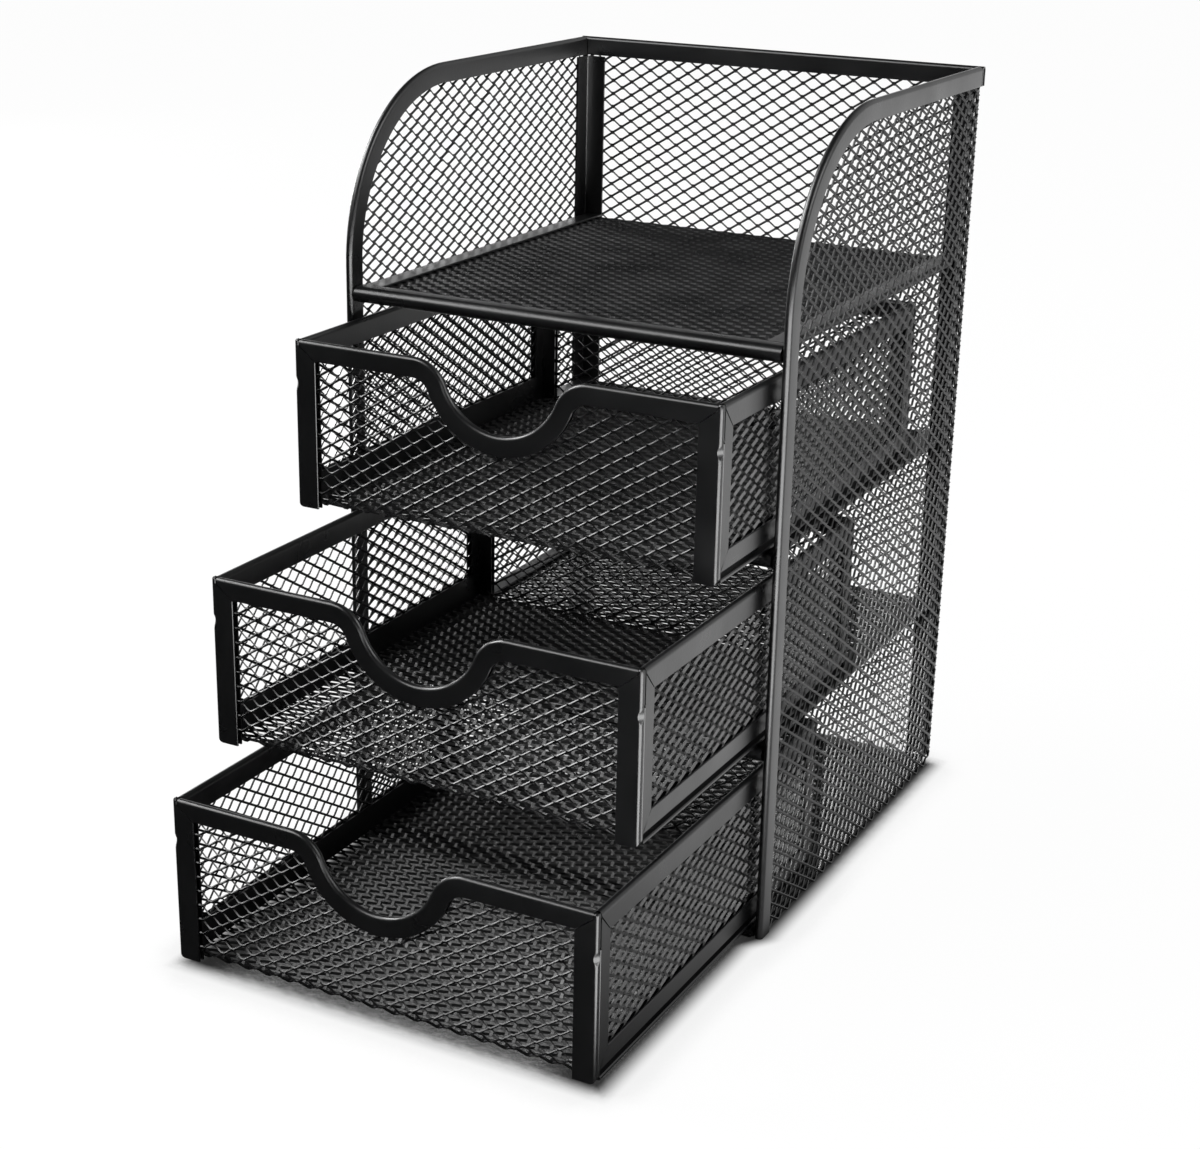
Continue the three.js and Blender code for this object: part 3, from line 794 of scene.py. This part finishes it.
def cornerSection(kind):
    # section of the corner angle seen from above: corner at the origin, legs to -x and +y
    detail = cornerDetail
    frontLeg, sideLeg = kind["frontLeg"], kind["sideLeg"]
    share = min(1.0, frontLeg / detail["fullLeg"], sideLeg / detail["fullLeg"])
    near, far = detail["innerFrom"] * share, detail["innerTo"] * share
    slotEnd = detail["slotEnd"] * share
    skin = detail["skin"]
    bend = detail["round"]
    steps = detail["roundSteps"]
    press = kind.get("press", 0.0)
    half = kind.get("creaseWidth", detail["creaseWidth"]) / 2
    deep = kind.get("creaseDepth", detail["creaseDepth"])
    floor = half * detail["creaseFloorShare"]
    lip = detail["lip"]
    corner = max(bend, press) + detail["roundMargin"]
    outline = [(-frontLeg, lip), (lip - frontLeg, 0.0), (-corner, 0.0)]
    for step in range(steps + 1):
        turn = math.radians(90 - 90 / steps * step)
        arc = Vector((-bend + bend * math.cos(turn), bend - bend * math.sin(turn)))
        flat = Vector((-press * (1 - step / steps), press * step / steps))
        outline.append(tuple(flat if press > bend * detail["pressFromShare"] else arc))
    crease = max(detail["creaseAt"], press + half + detail["creaseGap"])
    outline += [
        (0.0, crease - half), (-deep, crease - floor), (-deep, crease + floor),
        (0.0, crease + half), (0.0, sideLeg - lip), (-lip, sideLeg), (-skin, sideLeg),
        (-skin, near), (-near, near), (-near, sideLeg), (-far, sideLeg), (-far, far),
        (-frontLeg, far), (-frontLeg, near), (-slotEnd, near), (-slotEnd, skin),
        (-frontLeg, skin),
    ]
    return outline


def pressLevels(foot, plain):
    # the pressed spot below the slit: a flat across the corner that grows and shrinks again
    detail = cornerDetail
    steps = detail["pressSteps"]
    levels = [(foot, plain)]
    for step in range(1, steps):
        swell = math.sin(math.pi * step / steps) ** detail["pressFullness"]
        depth = detail["pressDepth"] * swell
        levels.append((foot + detail["pressLength"] * step / steps, {**plain, "press": depth}))
    return levels


def cornerAngle(node, body, lift, corner, back, mirror):
    # corner is the y of the drawer's outer face; back turns the angle round
    shape = drawerShape
    detail = cornerDetail
    top = shape["height"]
    leg = shape["legWidth"]
    slitFoot = top - detail["slitLength"]
    holeFoot = slitFoot - detail["holeSize"]
    pressFoot = holeFoot - detail["pressLength"]
    plain = {"frontLeg": leg, "sideLeg": leg}
    foot = {"frontLeg": leg, "sideLeg": shape["cornerFoot"]}
    slit = {**plain, **detail["slit"]}
    hole = {**plain, **detail["hole"]}
    topEnd = {**slit, "frontLeg": detail["topLeg"], "sideLeg": detail["topSideLeg"]}
    mitreTop = top - detail["mitreTop"]
    # the side's mitre starts lower than the front's
    part = (leg - shape["topStrip"]) / (leg - detail["mitreTop"])
    sideLegThere = leg - part * (leg - detail["topSideLeg"])
    ramp = detail["holeRamp"]
    levels = [
        (0.0, foot), (shape["stripFoot"], foot), (shape["bottomStripTop"], plain),
        *pressLevels(pressFoot, plain), (holeFoot, plain),
        (holeFoot + ramp, hole), (slitFoot - ramp, hole), (slitFoot, slit),
        (top - leg - shape["mitreGap"], slit),
        (top - shape["topStrip"] - shape["mitreGap"], {**slit, "sideLeg": sideLegThere}),
        (mitreTop, topEnd), (top - detail["capHeight"], topEnd),
        (top, {**topEnd, "cap": detail["capShrink"]}),
    ]
    middleX, middleY = detail["capCentre"]
    bm = bmesh.new()
    order, loop = ringOf(bm, [(x, y, 0.0) for x, y in cornerSection(foot)])
    for level, kind in levels[1:]:
        count = len(order)
        fresh = set(vertsIn(bmesh.ops.extrude_edge_only(bm, edges=loop)["geom"]))
        following = []
        for vert in order:
            others = [edge.other_vert(vert) for edge in vert.link_edges]
            following += [other for other in others if other in fresh]
        shrink = 1.0 - kind.get("cap", 0.0)
        for vert, (x, y) in zip(following, cornerSection(kind)):
            x, y = middleX + (x - middleX) * shrink, middleY + (y - middleY) * shrink
            vert.co = Vector((x, y, level))
        order = following
        loop = [bm.edges.get((order[i], order[(i + 1) % count])) for i in range(count)]
    reach = shape["halfWidth"]
    bmesh.ops.translate(bm, vec=(reach, 0.0, 0.0), verts=bm.verts)
    # the foot's outer end is rounded
    radius = detail["footRound"]
    for turn in detail["footCuts"]:
        tilt = math.radians(turn)
        normal = Vector((math.cos(tilt), 0.0, -math.sin(tilt)))
        cutAway(bm, Vector((reach - radius, 0.0, radius)) + normal * radius, normal)
    closeOpenings(bm)
    if back:
        bmesh.ops.scale(bm, vec=(1.0, -1.0, 1.0), verts=bm.verts)
    return finishStrip(bm, node, body, Matrix.Translation((0.0, corner, lift)), mirror)


bodyShape = {
    "halfWidth": 58.5,
    "floor": 0.6,             # from the drawer's foot to the sheet's middle
    "bendRadius": 3.7,
    "topGap": 0.8,
    "notchInset": 2.4,
}


def bodySheet(node, body, lift, front):
    # one lattice sheet bent down the back, across the floor and up the front
    shape = drawerShape
    middle = stripMiddle
    floor = bodyShape["floor"]
    bend = bodyShape["bendRadius"]
    rise = shape["height"] - bodyShape["topGap"] - floor - bend
    run = shape["depth"] - 2 * middle - 2 * bend
    quarter = bend * math.pi / 2
    marks = [rise, rise + quarter, rise + quarter + run, rise + 2 * quarter + run]
    total = marks[3] + rise
    backY = shape["depth"] - middle
    bm = latticeSheet(-bodyShape["halfWidth"], bodyShape["halfWidth"], 0.0, total, -1)

    def inNotch(face):
        centre = face.calc_center_median()
        height = centre.y - marks[3] + floor + bend
        return height > notchLevel(centre.x, bodyShape["notchInset"])

    away = [face for face in bm.faces if inNotch(face)]
    bmesh.ops.delete(bm, geom=away, context="FACES")
    thicken(bm)
    for vert in bm.verts:
        x, s, w = vert.co
        if s < marks[0]:
            point, out = Vector((backY, floor + bend + rise - s)), Vector((1.0, 0.0))
        elif s < marks[1]:
            turn = (s - marks[0]) / bend
            out = Vector((math.cos(turn), -math.sin(turn)))
            point = Vector((backY - bend, floor + bend)) + out * bend
        elif s < marks[2]:
            point, out = Vector((backY - bend - (s - marks[1]), floor)), Vector((0.0, -1.0))
        elif s < marks[3]:
            turn = (s - marks[2]) / bend
            out = Vector((-math.sin(turn), -math.cos(turn)))
            point = Vector((middle + bend, floor + bend)) + out * bend
        else:
            point, out = Vector((middle, floor + bend + s - marks[3])), Vector((-1.0, 0.0))
        y, z = point + out * w
        vert.co = Vector((x, front + y, lift + z))
    return finishPiece(bm, node, body, meshCoat, expandedMetal["smoothBelow"])


for name in drawerShape["names"]:
    body = name + "_drawer"
    low = spanOf(body + "_right_front_corner")[0]
    lift, front = low.z, low.y
    depth = drawerShape["depth"]
    back = front + depth
    bodySheet(body + "_body_mesh", body, lift, front)
    frontStrip(body + "_front_strip", body, lift, front)
    backStrip(body + "_back_strip", body, lift, back)
    for side, mirror in (("right", False), ("left", True)):
        stem = body + "_" + side
        sideTopStrip(stem + "_top_strip", body, lift, front, mirror)
        sideBottomStrip(stem + "_bottom_strip", body, lift, front, mirror)
        cornerAngle(stem + "_front_corner", body, lift, front, False, mirror)
        cornerAngle(stem + "_back_corner", body, lift, back, True, mirror)
        place = Matrix.Translation((0, front, lift)) @ rightPlane(drawerShape["sideSheetAt"])
        gap = drawerShape["sideSheetGap"]
        meshPanel(
            stem + "_side_mesh", place, gap, depth - gap, *drawerShape["sideSheetSpan"],
            body, 1, mirror)
    print(name, "drawer made")


cameraPlace = {
    "at": (266.43, -550.76, 290.88),
    "yaw": 27.55,
    "pitch": 19.77,
    "roll": 1.17,
    "lens": 66.04,
    "sensorWidth": 36.0,
    "nearest": 0.01,
}


def addCamera(spot):
    yaw, pitch, roll = (math.radians(spot[key]) for key in ("yaw", "pitch", "roll"))
    flat = math.cos(pitch)
    ahead = Vector((-math.sin(yaw) * flat, math.cos(yaw) * flat, -math.sin(pitch)))
    level = ahead.cross(Vector((0, 0, 1))).normalized()
    upright = level.cross(ahead)
    right = level * math.cos(roll) + upright * math.sin(roll)
    up = upright * math.cos(roll) - level * math.sin(roll)
    camera = bpy.data.cameras.new("photoCamera")
    camera.lens = spot["lens"]
    camera.sensor_width = spot["sensorWidth"]
    camera.sensor_fit = "HORIZONTAL"
    camera.clip_start = spot["nearest"]
    holder = bpy.data.objects.new("photoCamera", camera)
    bpy.context.scene.collection.objects.link(holder)
    turn = Matrix((right, up, -ahead)).transposed().to_4x4()
    holder.matrix_world = Matrix.Translation(toFrame @ Vector(spot["at"])) @ turn
    bpy.context.scene.camera = holder


studio = {
    "floorColour": (0.93, 0.93, 0.93, 1.0),
    "lamps": (
        # name, place in metres, size, power
        ("rightSoftbox", (1.3, 0.03, 1.08), (0.8, 0.8), 10.0),
        ("leftSoftbox", (-1.02, -0.2, 0.92), (0.55, 0.55), 20.0),
        ("frontSoftbox", (-0.52, -0.76, 1.0), (0.6, 0.6), 9.0),
        ("lowSoftbox", (-1.3, 0.71, 0.2), (0.4, 0.2), 4.0),
    ),
    "aimAt": (0.0, 0.0, 0.1),
    "worldWhite": 0.8,
    "worldDark": 0.03,
    "worldAim": (0.8, 0.6, -0.05),
    "worldFade": (0.0, 0.9),
    "backdropAim": (-0.86, 0.51, 0.0),
    "backdropFade": (0.6, 0.85),
    "backdropTop": (0.30, 0.20),
    "backdropGlow": 1.6,
    "floorSize": 4.0,
    "floorLevel": -0.0002,
    "floorRoughness": 0.9,
    "floorWhite": 1.35,
    "floorAim": (0.47, 0.88, 0.0),
    "floorFade": (-0.10, 0.15),
    "glowShare": 0.97,        # the rest of what the camera sees is lit by the lamps
    # painted glow on the floor in front on the right, seen only in reflections
    "paintedGlowEdge": {"X": ((0.06, 0.10), (0.0, 11.0)), "Y": ((-0.132, -0.112), (1.0, 0.0))},
    "underShade": 0.02,
    "underFade": (0.60, 0.9),
    "underReach": 0.02,
    "underSamples": 16,
    "footprint": {"X": (0.059, 0.066), "Y": (0.106, 0.114)},
    "caseFront": (-0.030, -0.020),
    "caseWider": 0.0045,      # the case reaches further out than its drawers
    "besideShade": 0.9,
}


def rangeOf(nodes, links, value, source, target):
    fade = nodes.new("ShaderNodeMapRange")
    fade.interpolation_type = "SMOOTHSTEP"
    fade.inputs["From Min"].default_value = source[0]
    fade.inputs["From Max"].default_value = source[1]
    fade.inputs["To Min"].default_value = target[0]
    fade.inputs["To Max"].default_value = target[1]
    links.new(value, fade.inputs["Value"])
    return fade.outputs["Result"]


def towards(nodes, links, place, direction):
    aim = nodes.new("ShaderNodeVectorMath")
    aim.operation = "DOT_PRODUCT"
    aim.inputs[1].default_value = Vector(direction).normalized()
    links.new(place, aim.inputs[0])
    return aim.outputs["Value"]


def combined(nodes, links, operation, first, second):
    both = nodes.new("ShaderNodeMath")
    both.operation = operation
    links.new(first, both.inputs[0])
    if isinstance(second, float):
        both.inputs[1].default_value = second
    else:
        links.new(second, both.inputs[1])
    return both.outputs["Value"]


def cameraLikeRays(nodes, links):
    rays = nodes.new("ShaderNodeLightPath").outputs
    return combined(nodes, links, "MAXIMUM", rays["Is Camera Ray"], rays["Is Transmission Ray"])


def addWorld(look):
    world = bpy.data.worlds.new("studioWorld")
    bpy.context.scene.world = world
    world.use_nodes = True
    nodes = world.node_tree.nodes
    links = world.node_tree.links
    background = nodes["Background"]
    place = nodes.new("ShaderNodeTexCoord").outputs["Generated"]
    room = rangeOf(
        nodes, links, towards(nodes, links, place, look["worldAim"]),
        look["worldFade"], (look["worldDark"], look["worldWhite"]))
    # a long low band of light on the left, which the drawers' finger notches mirror
    reach = rangeOf(
        nodes, links, towards(nodes, links, place, look["backdropAim"]),
        look["backdropFade"], (0.0, look["backdropGlow"]))
    height = towards(nodes, links, place, (0.0, 0.0, 1.0))
    below = rangeOf(nodes, links, height, look["backdropTop"], (0.0, 1.0))
    backdrop = combined(nodes, links, "MULTIPLY", reach, below)
    both = combined(nodes, links, "ADD", room, backdrop)
    seen = cameraLikeRays(nodes, links)
    strength = nodes.new("ShaderNodeMix")
    strength.inputs["B"].default_value = 1.0
    links.new(seen, strength.inputs["Factor"])
    links.new(both, strength.inputs["A"])
    background.inputs["Color"].default_value = (1, 1, 1, 1)
    links.new(strength.outputs["Result"], background.inputs["Strength"])


def addFloor(look):
    bm = bmesh.new()
    bmesh.ops.create_grid(bm, x_segments=2, y_segments=2, size=look["floorSize"])
    mesh = bpy.data.meshes.new("studioFloor")
    bm.to_mesh(mesh)
    bm.free()
    material = bpy.data.materials.new("studioFloor")
    material.use_nodes = True
    nodes = material.node_tree.nodes
    links = material.node_tree.links
    shader = nodes["Principled BSDF"]
    shader.inputs["Base Color"].default_value = look["floorColour"]
    shader.inputs["Roughness"].default_value = look["floorRoughness"]
    glow = nodes.new("ShaderNodeEmission")
    glow.inputs["Color"].default_value = (1, 1, 1, 1)
    # the floor right under the object lies in its shade
    cover = nodes.new("ShaderNodeAmbientOcclusion")
    cover.samples = look["underSamples"]
    cover.inputs["Distance"].default_value = look["underReach"]
    under = rangeOf(
        nodes, links, cover.outputs["AO"], look["underFade"], (look["underShade"], 1.0))
    # mirrored in the coat, the floor is bright behind the object and dark in front of it
    place = nodes.new("ShaderNodeTexCoord").outputs["Object"]
    reflected = rangeOf(
        nodes, links, towards(nodes, links, place, look["floorAim"]),
        look["floorFade"], (look["worldDark"], look["floorWhite"]))
    # painted light: for mirrored rays a patch of the floor in front on the right glows like a
    # white card, which draws the light line down the upright edges
    axes = nodes.new("ShaderNodeSeparateXYZ")
    links.new(place, axes.inputs["Vector"])
    wider = rangeOf(nodes, links, axes.outputs["Y"], look["caseFront"], (0.0, look["caseWider"]))
    beside = []
    for axis, reach in look["footprint"].items():
        away = nodes.new("ShaderNodeMath")
        away.operation = "ABSOLUTE"
        links.new(axes.outputs[axis], away.inputs[0])
        extra = wider if axis == "X" else 0.0
        away = combined(nodes, links, "SUBTRACT", away.outputs["Value"], extra)
        beside.append(rangeOf(nodes, links, away, reach, (0.0, look["besideShade"])))
    around = combined(nodes, links, "MAXIMUM", *beside)
    shade = combined(nodes, links, "MAXIMUM", under, around)
    sides = [
        rangeOf(nodes, links, axes.outputs[axis], *reach)
        for axis, reach in look["paintedGlowEdge"].items()]
    paintedGlow = combined(nodes, links, "MULTIPLY", *sides)
    reflected = combined(nodes, links, "ADD", reflected, paintedGlow)
    seen = cameraLikeRays(nodes, links)
    level = nodes.new("ShaderNodeMix")
    level.inputs["B"].default_value = 1.0
    links.new(seen, level.inputs["Factor"])
    links.new(reflected, level.inputs["A"])
    strength = combined(nodes, links, "MULTIPLY", shade, level.outputs["Result"])
    links.new(strength, glow.inputs["Strength"])
    # pale and evenly lit for the camera, with what is left of the object's shadow on top
    glossy = nodes.new("ShaderNodeLightPath").outputs["Is Glossy Ray"]
    share = combined(nodes, links, "MULTIPLY", seen, look["glowShare"])
    blend = nodes.new("ShaderNodeMixShader")
    links.new(combined(nodes, links, "MAXIMUM", share, glossy), blend.inputs["Fac"])
    links.new(shader.outputs["BSDF"], blend.inputs[1])
    links.new(glow.outputs["Emission"], blend.inputs[2])
    links.new(blend.outputs["Shader"], nodes["Material Output"].inputs["Surface"])
    mesh.materials.append(material)
    floor = bpy.data.objects.new("studioFloor", mesh)
    bpy.context.scene.collection.objects.link(floor)
    floor.location.z = look["floorLevel"]


def addLamps(look):
    for name, place, size, power in look["lamps"]:
        lamp = bpy.data.lights.new(name, "AREA")
        lamp.shape = "RECTANGLE"
        lamp.size, lamp.size_y = size
        lamp.energy = power
        holder = bpy.data.objects.new(name, lamp)
        bpy.context.scene.collection.objects.link(holder)
        holder.location = place
        aim = Vector(look["aimAt"]) - Vector(place)
        holder.rotation_euler = aim.to_track_quat("-Z", "Y").to_euler()


addCamera(cameraPlace)
addWorld(studio)
addFloor(studio)
addLamps(studio)
bpy.context.scene.view_settings.view_transform = "Standard"
print("camera and lights set")
